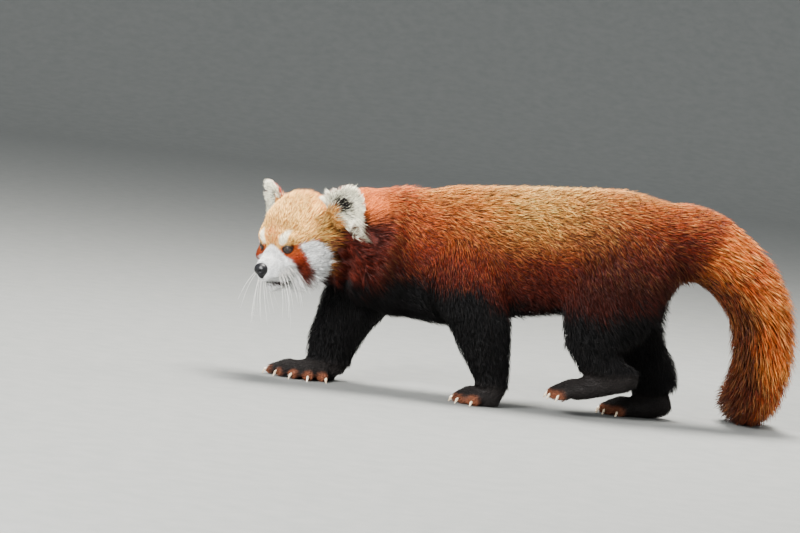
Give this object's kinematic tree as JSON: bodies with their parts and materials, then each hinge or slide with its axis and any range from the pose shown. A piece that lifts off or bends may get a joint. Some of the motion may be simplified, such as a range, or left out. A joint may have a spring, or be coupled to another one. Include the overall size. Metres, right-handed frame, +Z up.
{
  "type": "red panda",
  "caption": "Life-size red panda walking with its head turned, with parted legs, paws and claws, cupped ears and a long bushy tail laid down behind it.",
  "frame": {"origin": "middle of the bounding box, on the floor it stands on", "axes": "-X the way it walks, -Y its left side, +Z up"},
  "size_m": [0.7732, 0.2544, 0.3199],
  "materials": {
    "body_fur": "long rust-red coat with paler tips",
    "head_fur": "short cream and orange fur",
    "ear_fur": "white fur at the rim, dark inside",
    "leg_fur": "black fur",
    "tail_fur": "bushy orange fur with faint rings",
    "claw": "pale horn",
    "eye": "wet dark brown",
    "nose": "black, finely grained"
  },
  "bodies": {
    "root": {"claw_forepaw_left_1": "claw", "claw_forepaw_left_2": "claw", "claw_forepaw_left_3": "claw", "claw_forepaw_left_4": "claw", "claw_forepaw_left_5": "claw", "claw_forepaw_right_1": "claw", "claw_forepaw_right_2": "claw", "claw_forepaw_right_3": "claw", "claw_forepaw_right_4": "claw", "claw_forepaw_right_5": "claw", "claw_hindpaw_left_1": "claw", "claw_hindpaw_left_2": "claw", "claw_hindpaw_left_3": "claw", "claw_hindpaw_left_4": "claw", "claw_hindpaw_left_5": "claw", "claw_hindpaw_right_1": "claw", "claw_hindpaw_right_2": "claw", "claw_hindpaw_right_3": "claw", "claw_hindpaw_right_4": "claw", "claw_hindpaw_right_5": "claw", "ear_left": "ear_fur", "ear_right": "ear_fur", "eye_left": "eye", "eye_right": "eye", "foreleg_left_lower": "leg_fur", "foreleg_left_upper": "leg_fur", "foreleg_right_lower": "leg_fur", "foreleg_right_upper": "leg_fur", "forepaw_left": "leg_fur", "forepaw_right": "leg_fur", "head": "head_fur", "hindpaw_left": "leg_fur", "hindpaw_right": "leg_fur", "neck": "body_fur", "nose": "nose", "shank_left": "leg_fur", "shank_right": "leg_fur", "tail_1": "tail_fur", "tail_2": "tail_fur", "tail_3": "tail_fur", "tail_4": "tail_fur", "thigh_left": "leg_fur", "thigh_right": "leg_fur", "torso": "body_fur"}
  },
  "joints": []
}
